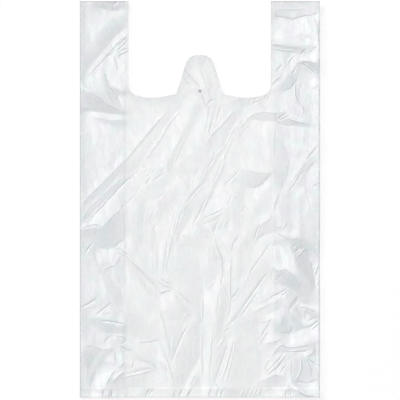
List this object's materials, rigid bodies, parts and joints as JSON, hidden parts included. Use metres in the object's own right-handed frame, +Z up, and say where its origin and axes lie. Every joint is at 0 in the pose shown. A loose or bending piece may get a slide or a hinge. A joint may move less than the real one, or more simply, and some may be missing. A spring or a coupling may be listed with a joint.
{
  "type": "plastic carrier bag",
  "caption": "Thin film carrier bag of the vest shape, with side gussets and loop handles beside a middle tab, lying flat and creased from use.",
  "frame": {"origin": "under the middle of the bag as it lies, at the height of the surface that it lies on", "axes": "+X across the bag, +Y from the bottom weld towards the handles, +Z up out of the surface that it lies on"},
  "size_m": [0.3, 0.496, 0.0053],
  "materials": {
    "film": "thin natural film, half see-through, with a soft gloss"
  },
  "bodies": {
    "root": {"carrier_bag": "film"}
  },
  "joints": []
}
